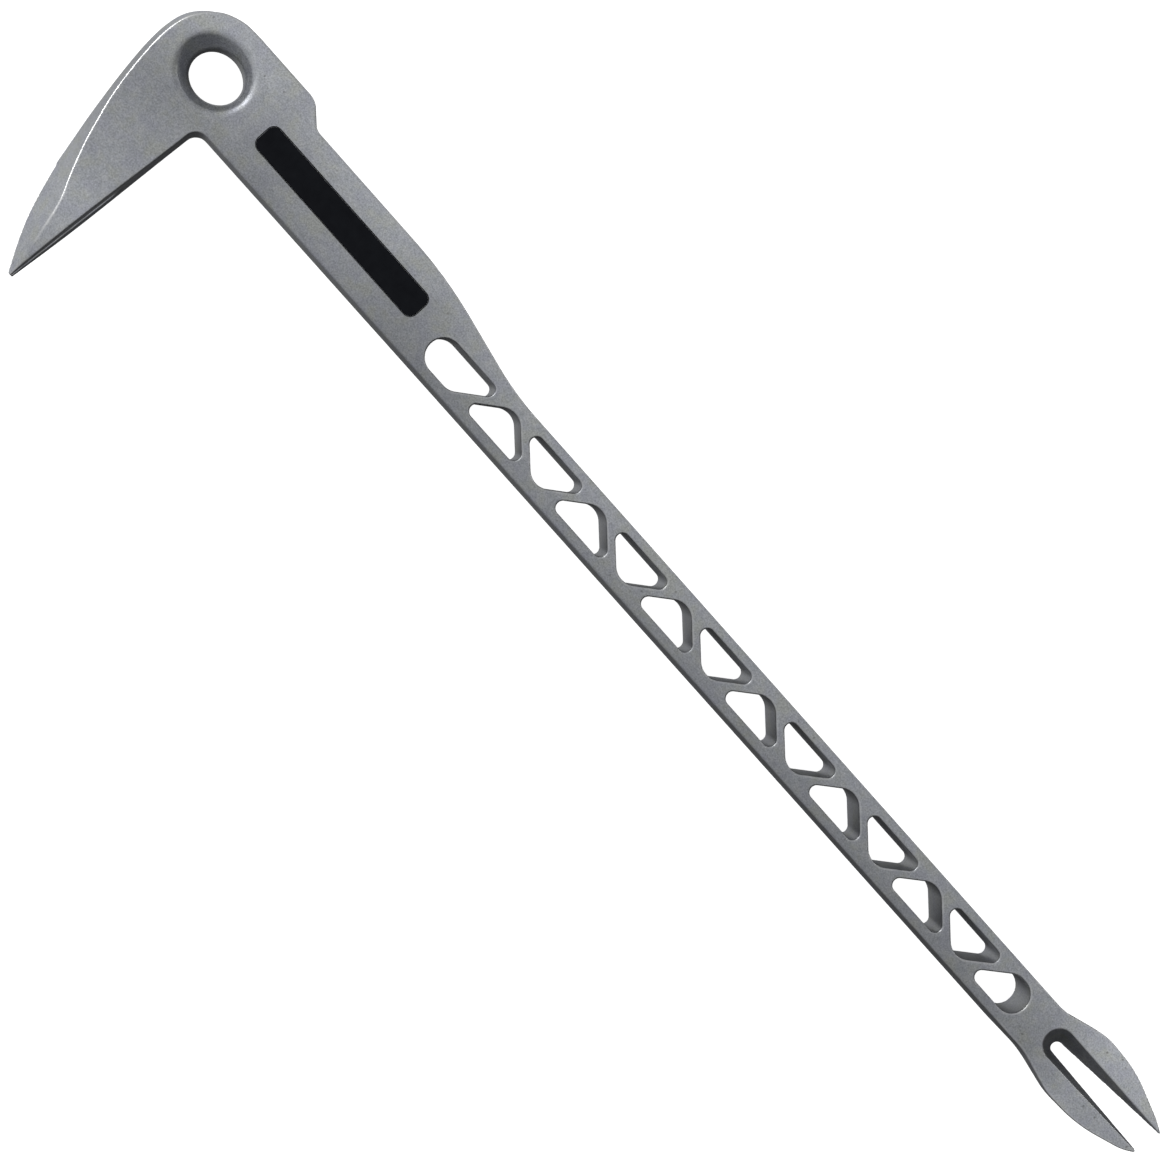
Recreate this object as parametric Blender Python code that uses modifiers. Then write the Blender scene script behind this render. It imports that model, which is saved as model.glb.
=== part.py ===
"""One-hand nail-pulling claw bar: a one-piece titanium casting with a flat black inlay in its side.

Metres, +Z up. The bar lies on its side. It is drawn with X running along the shank from the
back of the head to the fork tips, Y across the shank with the spike towards -Y, and Z through
the thickness. The parent empty then moves the drawing so that the world origin is at the
bottom centre of the bar's box.
"""

import math

import bmesh
import bpy
from mathutils import Matrix, Vector

MM = 0.001

# Driving dimensions
LENGTH = 290.0 * MM
THICKNESS = 11.5 * MM
SHANK_WIDTH = 11.3 * MM
HEAD_BACK_Y = 14.35 * MM  # striking face, above the shank's centreline
BADGE_EDGE_Y = 10.75 * MM  # upper edge of the wide stretch that holds the inlay
SPIKE_TIP_Y = -50.2 * MM
HOOK_INNER_X = 18.6 * MM  # where the spike's inner face would meet the shank
EYE_CENTRE = (13.7 * MM, 3.4 * MM)
EYE_HALF = (5.6 * MM, 5.1 * MM)  # half axes of the oval eye
EYE_FLARE = 2.3 * MM  # radius of the rounded mouth of the eye
EYE_STEPS = 40
MOUTH_STEPS = 5

TRUSS_PITCH = 24.78 * MM  # between openings that face the same way
TRUSS_FIRST_X = 98.28 * MM  # centre of the first three-sided opening
TRUSS_COUNT = 13  # openings after the round-ended slot
TRUSS_CENTRE_Y = 0.12 * MM
TRUSS_HALF_HEIGHT = 3.62 * MM
TRUSS_HALF_WAIST = 4.86 * MM  # half the opening's width on the centreline
BRACE_ANGLE = math.radians(39.8)
CORNER_RADIUS = 1.41 * MM
APEX_RADIUS = 3.76 * MM
SLOT_LEFT_X = 77.6 * MM
LAST_RIGHT_X = 252.0 * MM
END_RADIUS = 3.55 * MM  # of the two round-ended openings

FORK_CENTRE_Y = 0.5 * MM
FORK_NECK_X = 258.5 * MM
FORK_ROOT_X = 259.2 * MM  # root of the nail slot on the flat face
FORK_HALF_SLOT = 3.36 * MM
FORK_SLOT_TURN = 0.01  # the slot leans this much towards +Y
FORK_BACK_START_X = 261.0 * MM
FORK_TIP_HALF_GAP = 3.15 * MM
LOWER_TIP_X = 288.9 * MM  # the lower prong is a little shorter
FORK_TIP_DEPTH = 1.6 * MM  # how far the spine stays below the flat face at the tips

SPIKE_ROOT_Y = -23.5 * MM  # root of the nail slot on the spike's inner face
SPIKE_HALF_SLOT = 3.3 * MM
SLOT_WALL_SLOPE = 0.24  # how fast a nail slot narrows with depth, on each side
SLOT_ROOT_SLOPE = 0.547
SLOT_TAPER = 0.015  # how fast it narrows towards the tips
SLOT_RUN = 42.0 * MM
SLOT_ABOVE = 1.5 * MM  # how far a slot cutter stands above the claw's face
SLOT_BELOW = 12.5 * MM
SLOT_LEAST = 0.1 * MM  # half width of a slot cutter's mouth at its thinnest
SLOT_ARC_STEPS = 12
SPIKE_SLOT_INSET = 1.2 * MM  # the spike's slot is measured this far behind the hook's inner face

INLAY_CENTRE = (49.5 * MM, 2.8 * MM)
INLAY_SIZE = (44.0 * MM, 5.6 * MM)
INLAY_CORNER = 1.6 * MM
INLAY_THICKNESS = 0.55 * MM
INLAY_DEPTH = 0.05 * MM  # how far the inlay's face sits below the casting's
GAP = 0.3 * MM
POCKET_ABOVE = 4.0 * MM  # how far the pocket's cutter stands above its floor

# Half width of the head, across Z, at heights down the spike
SPIKE_WIDTHS = [
    (40, 5.75),
    (-8, 5.75),
    (-14, 6.1),
    (-20, 7.1),
    (-26, 8.35),
    (-32, 9.0),
    (-37, 8.7),
    (-41, 7.6),
    (-45.5, 5.9),
    (-50.2, 3.6),
    (-54, 1.8),
]
# The spine down the back of the head and spike, with the slope of the facets beside it
HEAD_SPINE = [
    (17.0, 14.75, 0.0),
    (12.5, 14.36, 0.0),
    (9.3, 13.95, 0.03),
    (6.0, 12.75, 0.08),
    (3.4, 10.9, 0.16),
    (1.5, 8.5, 0.22),
    (0.45, 6.0, 0.24),
    (0.0, 3.0, 0.24),
    (0.02, 0.0, 0.24),
    (0.45, -4.0, 0.24),
    (1.25, -9.0, 0.24),
    (2.2, -14.0, 0.26),
    (3.25, -19.0, 0.31),
    (4.45, -24.0, 0.35),
    (5.9, -30.0, 0.45),
    (7.25, -35.0, 0.56),
    (8.9, -40.0, 0.59),
    (10.9, -44.7, 0.6),
    (13.6, -50.0, 0.58),
    (15.2, -53.0, 0.57),
]
HOOK_OVERSIZE = 2.0 * MM  # stock left on the back for the spine cut to remove

# Corners of a prong's outer edge: distance along the bar, distance from the fork's centreline, radius
PRONG_CORNERS = [
    (268.0, 8.25, 12.0),
    (277.0, 7.9, 26.0),
    (287.0, 4.6, 12.0),
]
NECK_RADIUS = 14.0 * MM
# The fork's underside: distance past its start, lift above the shank's lower face, roof slope
FORK_BACK_ENTRY = [
    (-14.0, -0.45, 0.0),
    (-9.0, -0.2, 0.03),
    (-4.0, -0.1, 0.45),
    (0.0, 0.12, 0.75),
]
# Further on it rises evenly: distance past its start, roof slope
FORK_BACK_RISE = [
    (6.0, 0.75),
    (18.0, 0.45),
    (32.0, 0.3),
]

ARC_STEP = math.radians(14)
OUTLINE_ARC_STEP = math.radians(9)
REACH = 14.0 * MM  # how far a cutter runs past the stock


def clear_scene():
    for obj in list(bpy.data.objects):
        bpy.data.objects.remove(obj, do_unlink=True)


def new_collection(name):
    collection = bpy.data.collections.new(name)
    bpy.context.scene.collection.children.link(collection)
    return collection


def material(name, colour, roughness, metallic):
    made = bpy.data.materials.new(name)
    made.use_nodes = True
    shader = made.node_tree.nodes["Principled BSDF"]
    shader.inputs["Base Color"].default_value = (*colour, 1.0)
    shader.inputs["Roughness"].default_value = roughness
    shader.inputs["Metallic"].default_value = metallic
    made.diffuse_color = (*colour, 1.0)
    return made


def rounded(corners, step=ARC_STEP):
    """Points of a closed outline whose corners (x, y, radius) are rounded by arcs."""
    points = []
    count = len(corners)
    for index, (x, y, radius) in enumerate(corners):
        here = Vector((x, y))
        before = (Vector(corners[index - 1][:2]) - here).normalized()
        after = (Vector(corners[(index + 1) % count][:2]) - here).normalized()
        if radius <= 0:
            points.append(here)
            continue
        half = before.angle(after) / 2
        centre = here + (before + after).normalized() * radius / math.sin(half)
        start = here + before * radius / math.tan(half) - centre
        turn = start.angle_signed(here + after * radius / math.tan(half) - centre)
        pieces = max(2, math.ceil(abs(turn) / step))
        for piece in range(pieces + 1):
            angle = -turn * piece / pieces
            points.append(centre + Matrix.Rotation(angle, 2) @ start)
    return points


def truss_opening(index):
    """Corners of one opening. Even ones stand on the -Y rail, odd ones hang from the +Y rail."""
    centre = TRUSS_FIRST_X + index * TRUSS_PITCH / 2
    side = -1 if index % 2 == 0 else 1
    base = TRUSS_CENTRE_Y + side * TRUSS_HALF_HEIGHT
    apex = TRUSS_CENTRE_Y - side * TRUSS_HALF_WAIST * math.tan(BRACE_ANGLE)
    half_base = TRUSS_HALF_WAIST + TRUSS_HALF_HEIGHT / math.tan(BRACE_ANGLE)
    return centre, base, half_base, apex


def truss_outlines():
    outlines = []
    for index in range(TRUSS_COUNT - 1):
        centre, base, half_base, apex = truss_opening(index)
        corners = [
            (centre - half_base, base, CORNER_RADIUS),
            (centre + half_base, base, CORNER_RADIUS),
            (centre, apex, APEX_RADIUS),
        ]
        outlines.append(rounded(corners))
    lean = TRUSS_HALF_WAIST - TRUSS_HALF_HEIGHT / math.tan(BRACE_ANGLE)
    # The round-ended slot leans on the first brace
    centre, base, half_base, _ = truss_opening(-1)
    opposite = 2 * TRUSS_CENTRE_Y - base
    slot = [
        (SLOT_LEFT_X, base, END_RADIUS),
        (centre + half_base, base, CORNER_RADIUS),
        (centre + lean, opposite, APEX_RADIUS),
        (SLOT_LEFT_X, opposite, END_RADIUS),
    ]
    # The last opening leans on the last brace and ends round
    centre, base, half_base, _ = truss_opening(TRUSS_COUNT - 1)
    opposite = 2 * TRUSS_CENTRE_Y - base
    last = [
        (centre - half_base, base, CORNER_RADIUS),
        (LAST_RIGHT_X, base, END_RADIUS),
        (LAST_RIGHT_X, opposite, END_RADIUS),
        (centre - lean, opposite, APEX_RADIUS),
    ]
    return [*outlines, rounded(slot), rounded(last)]


def bar_outline():
    """The bar's side view, with stock left on the back of the head and spike."""
    half = SHANK_WIDTH / 2
    centre = FORK_CENTRE_Y
    spare = HOOK_OVERSIZE
    prong = [(x * MM, away * MM, radius * MM) for x, away, radius in PRONG_CORNERS]
    lower = [
        (15.9 * MM, SPIKE_TIP_Y, 0.25 * MM),
        (HOOK_INNER_X, -half, 2.6 * MM),
        (FORK_NECK_X, -half, NECK_RADIUS),
        *[(x, centre - away, radius) for x, away, radius in prong],
        (LOWER_TIP_X, centre - FORK_TIP_HALF_GAP, 0),
    ]
    upper = [
        (LENGTH, centre + FORK_TIP_HALF_GAP, 0),
        *[(x, centre + away, radius) for x, away, radius in reversed(prong)],
        (FORK_NECK_X, half, NECK_RADIUS),
        (95.6 * MM, half, 60.0 * MM),
        (70.0 * MM, BADGE_EDGE_Y - 0.05 * MM, 90.0 * MM),
        (33.6 * MM, BADGE_EDGE_Y, 2.4 * MM),
        (29.3 * MM, HEAD_BACK_Y, 4.2 * MM),
        (-spare, HEAD_BACK_Y, 9.0 * MM),
        (-spare, -6.0 * MM, 0),
        (7.0 * MM - spare, -40.0 * MM, 0),
        (14.8 * MM - spare, SPIKE_TIP_Y, 0),
    ]
    return rounded(lower + upper, step=OUTLINE_ARC_STEP)


def slab(name, outlines, half_thickness, collection):
    """A flat solid from 2D outlines: the first is its edge and the rest are holes in it."""
    curve = bpy.data.curves.new(name, "CURVE")
    curve.dimensions = "2D"
    curve.fill_mode = "BOTH"
    curve.extrude = half_thickness
    for outline in outlines:
        spline = curve.splines.new("POLY")
        spline.points.add(len(outline) - 1)
        for point, (x, y) in zip(spline.points, outline):
            point.co = (x, y, 0, 1)
        spline.use_cyclic_u = True
    drawn = bpy.data.objects.new(name + "_curve", curve)
    collection.objects.link(drawn)
    bpy.context.view_layer.update()
    graph = bpy.context.evaluated_depsgraph_get()
    mesh = bpy.data.meshes.new_from_object(drawn.evaluated_get(graph))
    bpy.data.objects.remove(drawn)
    made = bmesh.new()
    made.from_mesh(mesh)
    bmesh.ops.remove_doubles(made, verts=made.verts, dist=0.001 * MM)
    bmesh.ops.recalc_face_normals(made, faces=made.faces)
    made.to_mesh(mesh)
    made.free()
    solid = bpy.data.objects.new(name, mesh)
    collection.objects.link(solid)
    return solid


def loft(name, sections, collection):
    """A closed solid through sections that all have the same number of points."""
    made = bmesh.new()
    rings = [[made.verts.new(point) for point in section] for section in sections]
    count = len(rings[0])
    for ring, following in zip(rings, rings[1:]):
        for i in range(count):
            j = (i + 1) % count
            made.faces.new((ring[i], ring[j], following[j], following[i]))
    made.faces.new(rings[0])
    made.faces.new(rings[-1])
    bmesh.ops.triangulate(made, faces=made.faces)
    bmesh.ops.recalc_face_normals(made, faces=made.faces)
    mesh = bpy.data.meshes.new(name)
    made.to_mesh(mesh)
    made.free()
    solid = bpy.data.objects.new(name, mesh)
    collection.objects.link(solid)
    return solid


def spine_cutter(name, stations, side, collection):
    """Removes what lies outside two facets that fall away from a spine.

    Each station is (spine point, outward direction, slope of the facets).
    """
    sections = []
    for point, outward, slope in stations:
        out = outward.normalized() * REACH
        fall = outward.normalized() * REACH * slope
        across = side * REACH
        sections.append(
            [
                point,
                point + across - fall,
                point + across + out,
                point - across + out,
                point - across - fall,
            ]
        )
    return loft(name, sections, collection)


def head_spine_stations():
    points = [Vector((x * MM, y * MM, 0)) for x, y, _ in HEAD_SPINE]
    stations = []
    for index, point in enumerate(points):
        before = points[max(index - 1, 0)]
        after = points[min(index + 1, len(points) - 1)]
        along = (after - before).normalized()
        stations.append((point, along.cross(Vector((0, 0, 1))), HEAD_SPINE[index][2]))
    return stations


def fork_spine_stations():
    """The fork's underside rises from the shank's lower face to the tips' thin edge."""
    low = -THICKNESS / 2
    high = THICKNESS / 2 - FORK_TIP_DEPTH
    rise = (high - low) / (LENGTH - FORK_BACK_START_X)
    lifts = [(offset, lift, slope) for offset, lift, slope in FORK_BACK_ENTRY]
    lifts += [(offset, rise * offset, slope) for offset, slope in FORK_BACK_RISE]
    stations = []
    for offset, lift, slope in lifts:
        point = Vector((FORK_BACK_START_X + offset * MM, FORK_CENTRE_Y, low + lift * MM))
        tilt = 0 if offset < 0 else math.atan(rise)
        stations.append((point, Vector((math.sin(tilt), 0, -math.cos(tilt))), slope))
    return stations


def nail_slot(name, half_width, placing, collection):
    """A cutter that starts at its local origin, opens along +X, and narrows downwards."""
    sections = []
    for height in (SLOT_ABOVE, -SLOT_BELOW):
        half = half_width + SLOT_WALL_SLOPE * height
        root = -SLOT_ROOT_SLOPE * height
        mouth = max(half - SLOT_TAPER * SLOT_RUN, SLOT_LEAST)
        arc = [
            (root + half - half * math.sin(a), half * math.cos(a))
            for a in (math.pi * i / SLOT_ARC_STEPS for i in range(SLOT_ARC_STEPS + 1))
        ]
        ring = [(SLOT_RUN, mouth), *arc, (SLOT_RUN, -mouth)]
        sections.append([placing @ Vector((x, y, height)) for x, y in ring])
    return loft(name, sections, collection)


def eye_cutter(collection):
    """A straight oval bore with a rounded mouth on both faces, turned round and then stretched."""
    half = THICKNESS / 2
    radius = EYE_HALF[0]
    quarter = [math.pi / 2 * i / MOUTH_STEPS for i in range(MOUTH_STEPS + 1)]
    mouth = radius + EYE_FLARE
    above = half + 2 * MM
    upper = [
        (mouth - EYE_FLARE * math.sin(a), half - EYE_FLARE * (1 - math.cos(a)))
        for a in quarter
    ]
    profile = [(0, above), (mouth, above), *upper]
    profile += [(out, -height) for out, height in reversed(profile)]
    mesh = bpy.data.meshes.new("eye_cutter")
    verts = [(out, 0, height) for out, height in profile]
    mesh.from_pydata(verts, [(i, i + 1) for i in range(len(verts) - 1)], [])
    cutter = bpy.data.objects.new("eye_cutter", mesh)
    cutter.location = (*EYE_CENTRE, 0)
    cutter.scale.y = EYE_HALF[1] / EYE_HALF[0]
    collection.objects.link(cutter)
    screw = cutter.modifiers.new("Screw", "SCREW")
    screw.steps = EYE_STEPS
    screw.render_steps = EYE_STEPS
    screw.use_merge_vertices = True
    screw.merge_threshold = 0.01 * MM
    return cutter


def width_envelope(collection):
    """Seen along X: the thickness of the bar, flaring towards the middle of the spike."""
    left = [(y * MM, -half * MM) for y, half in SPIKE_WIDTHS]
    right = [(y * MM, half * MM) for y, half in reversed(SPIKE_WIDTHS)]
    ends = (-10 * MM, LENGTH + 10 * MM)
    sections = [[Vector((x, y, z)) for y, z in left + right] for x in ends]
    return loft("width_envelope", sections, collection)


def inlay_outline(grow):
    x, y = INLAY_CENTRE
    half_x, half_y = INLAY_SIZE[0] / 2 + grow, INLAY_SIZE[1] / 2 + grow
    radius = INLAY_CORNER + grow
    corners = [
        (x - half_x, y - half_y, radius),
        (x + half_x, y - half_y, radius),
        (x + half_x, y + half_y, radius),
        (x - half_x, y + half_y, radius),
    ]
    return rounded(corners)


def boolean(target, cutter, operation):
    modifier = target.modifiers.new(cutter.name, "BOOLEAN")
    modifier.operation = operation
    modifier.solver = "EXACT"
    modifier.object = cutter
    cutter.hide_render = True
    cutter.display_type = "WIRE"
    return modifier


def build_casting(parts, cutters):
    outlines = [bar_outline(), *truss_outlines()]
    casting = slab("claw_bar_casting", outlines, REACH, parts)
    boolean(casting, width_envelope(cutters), "INTERSECT")
    side = Vector((0, 0, 1))
    head = spine_cutter("head_back_cutter", head_spine_stations(), side, cutters)
    boolean(casting, head, "DIFFERENCE")
    side = Vector((0, 1, 0))
    fork = spine_cutter("fork_back_cutter", fork_spine_stations(), side, cutters)
    boolean(casting, fork, "DIFFERENCE")
    root_y = FORK_CENTRE_Y - FORK_SLOT_TURN * (LENGTH - FORK_ROOT_X) / 2
    fork_place = Matrix.Translation((FORK_ROOT_X, root_y, THICKNESS / 2))
    fork_place = fork_place @ Matrix.Rotation(FORK_SLOT_TURN, 4, "Z")
    fork_slot = nail_slot("fork_slot_cutter", FORK_HALF_SLOT, fork_place, cutters)
    boolean(casting, fork_slot, "DIFFERENCE")
    inner_x = HOOK_INNER_X - SPIKE_SLOT_INSET
    spike_place = Matrix.Translation((inner_x, SPIKE_ROOT_Y, 0)) @ Matrix(
        ((0, 0, 1, 0), (-1, 0, 0, 0), (0, -1, 0, 0), (0, 0, 0, 1))
    )
    spike_slot = nail_slot("spike_slot_cutter", SPIKE_HALF_SLOT, spike_place, cutters)
    boolean(casting, spike_slot, "DIFFERENCE")
    boolean(casting, eye_cutter(cutters), "DIFFERENCE")
    pocket_floor = THICKNESS / 2 - INLAY_DEPTH - INLAY_THICKNESS - GAP
    pocket = slab("pocket_cutter", [inlay_outline(GAP)], POCKET_ABOVE / 2, cutters)
    pocket.location.z = pocket_floor + POCKET_ABOVE / 2
    boolean(casting, pocket, "DIFFERENCE")
    casting.data.materials.append(
        material("cast_titanium", (0.27, 0.28, 0.28), 0.42, 1.0)
    )
    return casting


def build_inlay(parts):
    inlay = slab("badge_inlay", [inlay_outline(0)], INLAY_THICKNESS / 2, parts)
    inlay.location.z = THICKNESS / 2 - INLAY_DEPTH - INLAY_THICKNESS / 2
    inlay.data.materials.append(material("black_enamel", (0.01, 0.012, 0.015), 0.4, 0.0))
    return inlay


def main():
    clear_scene()
    parts = new_collection("claw_bar")
    cutters = new_collection("cutters")
    middle_y = (HEAD_BACK_Y + SPIKE_TIP_Y) / 2
    lowest = max(half for _, half in SPIKE_WIDTHS) * MM
    frame = bpy.data.objects.new("claw_bar_frame", None)
    frame.location = (-LENGTH / 2, -middle_y, lowest)
    parts.objects.link(frame)
    build_casting(parts, cutters)
    build_inlay(parts)
    for obj in [*parts.objects, *cutters.objects]:
        if obj is not frame:
            obj.parent = frame
    bpy.context.view_layer.update()


main()
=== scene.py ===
"""Looks of the one-hand nail-pulling claw bar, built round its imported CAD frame.

The casting is a distance field: the bar's side view, its width envelope, the facets down the back of
the spike, the rising underside of the fork, the truss openings, the two nail slots and the eye, all met
with rounded edges. It is meshed with a surface net whose vertices are pulled exactly onto the field.
The drawing it is made from is in millimetres: X along the shank from the back of the head, Y across
the shank with the spike towards -Y, and Z through the thickness from the middle plane.
"""

import math

import bpy
import numpy as np
from mathutils import Matrix, Vector
from mathutils.geometry import delaunay_2d_cdt


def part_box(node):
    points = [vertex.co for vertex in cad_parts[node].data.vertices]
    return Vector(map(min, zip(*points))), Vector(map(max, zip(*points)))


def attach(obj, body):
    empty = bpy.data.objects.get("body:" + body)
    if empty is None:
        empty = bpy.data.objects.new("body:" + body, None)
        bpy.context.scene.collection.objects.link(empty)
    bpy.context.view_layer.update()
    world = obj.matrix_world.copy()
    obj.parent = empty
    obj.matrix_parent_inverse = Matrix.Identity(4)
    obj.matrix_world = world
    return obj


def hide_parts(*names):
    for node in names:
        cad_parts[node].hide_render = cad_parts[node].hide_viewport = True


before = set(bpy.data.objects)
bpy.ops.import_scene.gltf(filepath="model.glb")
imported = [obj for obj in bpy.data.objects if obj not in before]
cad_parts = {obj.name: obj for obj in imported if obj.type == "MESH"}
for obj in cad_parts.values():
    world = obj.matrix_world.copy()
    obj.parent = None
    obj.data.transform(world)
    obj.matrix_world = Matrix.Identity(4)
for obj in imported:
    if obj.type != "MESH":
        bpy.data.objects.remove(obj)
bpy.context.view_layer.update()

MM = 0.001

# Driving dimensions, in millimetres
LENGTH = 290.0
HALF_THICKNESS = 5.75
SHANK_HALF = 5.65
HEAD_BACK_Y = 14.35  # striking face, above the shank's centreline
BADGE_EDGE_Y = 10.75  # upper edge of the wide stretch that holds the inlay
SPIKE_TIP_Y = -50.2
HOOK_INNER_X = 18.6  # where the spike's inner face would meet the shank
EYE_CENTRE = (13.75, 3.4)
EYE_HALF = (5.45, 4.85)  # half axes of the oval eye
MOUTH_CENTRE = (13.1, 3.55)  # the eye's countersunk mouth leans towards the back of the head
MOUTH_HALF = (7.85, 7.2)
MOUTH_SLOPE = 0.82  # how fast the mouth closes with depth
MOUTH_EDGE = 0.7
MOUTH_ROOT_EDGE = 0.6

TRUSS_PITCH = 24.78  # between openings that face the same way
TRUSS_FIRST_X = 98.28  # centre of the first three-sided opening
TRUSS_COUNT = 13
TRUSS_CENTRE_Y = 0.12
TRUSS_HALF_HEIGHT = 3.62
TRUSS_HALF_WAIST = 4.86  # half an opening's width on the centreline
BRACE_ANGLE = math.radians(39.8)
CORNER_RADIUS = 1.41
APEX_RADIUS = 3.76
SLOT_LEFT_X = 77.6
LAST_RIGHT_X = 252.0
END_RADIUS = 3.55  # of the two round-ended openings

FORK_CENTRE_Y = 0.5
FORK_NECK_X = 258.5
FORK_ROOT_X = 259.2
FORK_HALF_SLOT = 3.36
FORK_SLOT_TURN = 0.01  # the slot leans this much towards +Y
FORK_BACK_START_X = 261.0
FORK_BACK_BLEND = 6.0  # half the stretch over which the underside starts to rise
FORK_TIP_HALF_GAP = 3.15
LOWER_TIP_X = 288.9  # the lower prong is a little shorter
FORK_TIP_DEPTH = 1.6
FORK_ROOF = ((251.0, 0.0), (257.0, 0.5), (261.0, 0.8), (268.0, 0.7), (280.0, 0.45), (290.0, 0.3))
PRONG_CORNERS = ((268.0, 8.25, 14.0), (277.0, 7.9, 28.0), (287.0, 4.6, 12.0))

SPIKE_ROOT_Y = -23.5
SPIKE_HALF_SLOT = 3.3
SPIKE_SLOT_X = HOOK_INNER_X - 1.2
SLOT_WALL_SLOPE = 0.24
SLOT_ROOT_SLOPE = 0.547
SLOT_TAPER = 0.015
SLOT_TOP = 1.5  # height above the claw's face at which a slot's walls stop spreading

INLAY_CENTRE = (49.5, 2.8)
INLAY_SIZE = (44.0, 5.6)
INLAY_CORNER = 1.6
INLAY_THICKNESS = 0.55
INLAY_DEPTH = 0.05
POCKET_GAP = 0.12
POCKET_EDGE = 0.1
INLAY_EDGE = 0.12
EDGE_PIECES = 4

# Edge radii
EDGE = 0.5
RIM = 0.42  # round the truss openings
FACET_EDGE = 0.25  # between the sides and the facets down the back
SLOT_EDGE = 0.3
SPINE_SOFTNESS = 0.35
TIP_EDGE = 0.2
SIDE_EDGE_THINS_X = (250.0, 284.0)  # the fork's edges get finer over these stretches
UNDER_EDGE_THINS_X = (262.0, 284.0)

# Painted shade in the recesses and a painted highlight along the spike's ridge
RECESS_SHADE_REACH = 0.6
EYE_PAINTED_SHADE = 4.0  # how much more painted shade darkens the eye's bore than the other walls
RIDGE_HIGHLIGHT_WIDTH = 0.16  # of the painted highlight along the edge between the spike's sides and its back facets
RIDGE_HIGHLIGHT_LOW_Y = -44.0
RIDGE_HIGHLIGHT_LOW_FADE = 6.0
RIDGE_HIGHLIGHT_HIGH_Y = 11.0
RIDGE_HIGHLIGHT_HIGH_FADE = 4.0

# Half width of the head, across Z, at heights down the spike
SPIKE_WIDTHS = (
    (40, 5.75),
    (-8, 5.75),
    (-14, 6.1),
    (-20, 7.1),
    (-26, 8.35),
    (-32, 9.0),
    (-37, 8.7),
    (-41, 7.6),
    (-45.5, 5.9),
    (-50.2, 3.6),
    (-54, 1.8),
)
# The spine down the back of the head and spike, with the slope of the facets beside it
HEAD_SPINE = (
    (21.0, 14.75, 0.0),
    (17.0, 14.75, 0.0),
    (12.5, 14.36, 0.0),
    (9.3, 13.95, 0.03),
    (6.0, 12.75, 0.08),
    (3.4, 10.9, 0.16),
    (1.5, 8.5, 0.22),
    (0.48, 6.0, 0.24),
    (0.07, 3.0, 0.24),
    (0.08, 0.0, 0.24),
    (0.47, -4.0, 0.24),
    (1.25, -9.0, 0.24),
    (2.2, -14.0, 0.26),
    (3.25, -19.0, 0.31),
    (4.45, -24.0, 0.35),
    (5.9, -30.0, 0.45),
    (7.25, -35.0, 0.56),
    (8.9, -40.0, 0.59),
    (10.9, -44.7, 0.6),
    (13.6, -50.0, 0.58),
    (15.2, -53.0, 0.57),
)

CELL = 0.3  # spacing of the sampling grid
MOST_HALF_WIDTH = 9.6  # across Z, with room to spare
MOST_ARC_STEP = math.radians(6)
OPENING_REACH = 2.0
TABLE_SPREAD = 1.6  # over which the corners of a table of widths are rounded off
TABLE_STEP = 0.25
CURVE_PIECES = 5  # between two stations of a curve
MOST_TRIANGLES = 180000
GUARD = 0.03  # how close to its ends a straight stretch gets a point of its own
CHORD_ERROR = 0.003
CLOSE = 0.3  # nearer than this to a path, a field's direction is the path's own normal
TINY = 1e-9

# Stage: the camera's spot is in the drawing's millimetres, and the rest is in metres
LENS = 98.5
ROLL = math.radians(48.27)
CAMERA_TILT = (0.053, 0.1312, 0.0091)  # turns about X, Y and Z
CAMERA_SPOT = (53.74, -47.02, 609.18)
WORLD_AXIS = (-0.88, 0.0, 0.47)  # the surroundings' tone changes along this direction
WORLD_TONES = ((-0.62, 0.05), (-0.42, 0.17), (-0.18, 0.5), (0.1, 0.64), (1.0, 0.66))
WORLD_STRIP = 0.25  # half width, across the bar, of the brighter strip overhead
WORLD_SIDE_TONE = 0.7
FLOOR_HALF = 3.0
FLOOR_GAP = 0.0002
FLOOR_GLOW = 0.88
BACKDROP_RADIUS = 2.9
BACKDROP_HEIGHT = 2.5
BACKDROP_SIDES = 64

cad_low, cad_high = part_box("claw_bar_casting")
ORIGIN = np.array(
    [
        cad_low[0],
        cad_high[1] - HEAD_BACK_Y * MM,
        (cad_low[2] + cad_high[2]) / 2,
    ]
)


def place(points):
    """Points of the drawing, in millimetres, as places in the frame, in metres."""
    return np.asarray(points) * MM + ORIGIN


# --- Outlines -----------------------------------------------------------------------------------


def rounded(corners):
    """Points of a closed outline whose corners (x, y, radius) are rounded by arcs.

    A long straight stretch gets a point close to each end, so that its normal stays its own.
    """
    points = []
    count = len(corners)
    for index, (x, y, radius) in enumerate(corners):
        here = Vector((x, y))
        before = (Vector(corners[index - 1][:2]) - here).normalized()
        after = (Vector(corners[(index + 1) % count][:2]) - here).normalized()
        if radius <= 0:
            points += [here + before * GUARD, here, here + after * GUARD]
            continue
        half = before.angle(after) / 2
        centre = here + (before + after).normalized() * radius / math.sin(half)
        start = here + before * radius / math.tan(half) - centre
        end = here + after * radius / math.tan(half) - centre
        turn = start.angle_signed(end)
        step = min(MOST_ARC_STEP, 2 * math.acos(1 - CHORD_ERROR / radius))
        pieces = max(2, math.ceil(abs(turn) / step))
        points.append(centre + start + before * GUARD)
        for piece in range(pieces + 1):
            points.append(centre + Matrix.Rotation(-turn * piece / pieces, 2) @ start)
        points.append(centre + end + after * GUARD)
    return np.array([tuple(point) for point in points])


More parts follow.
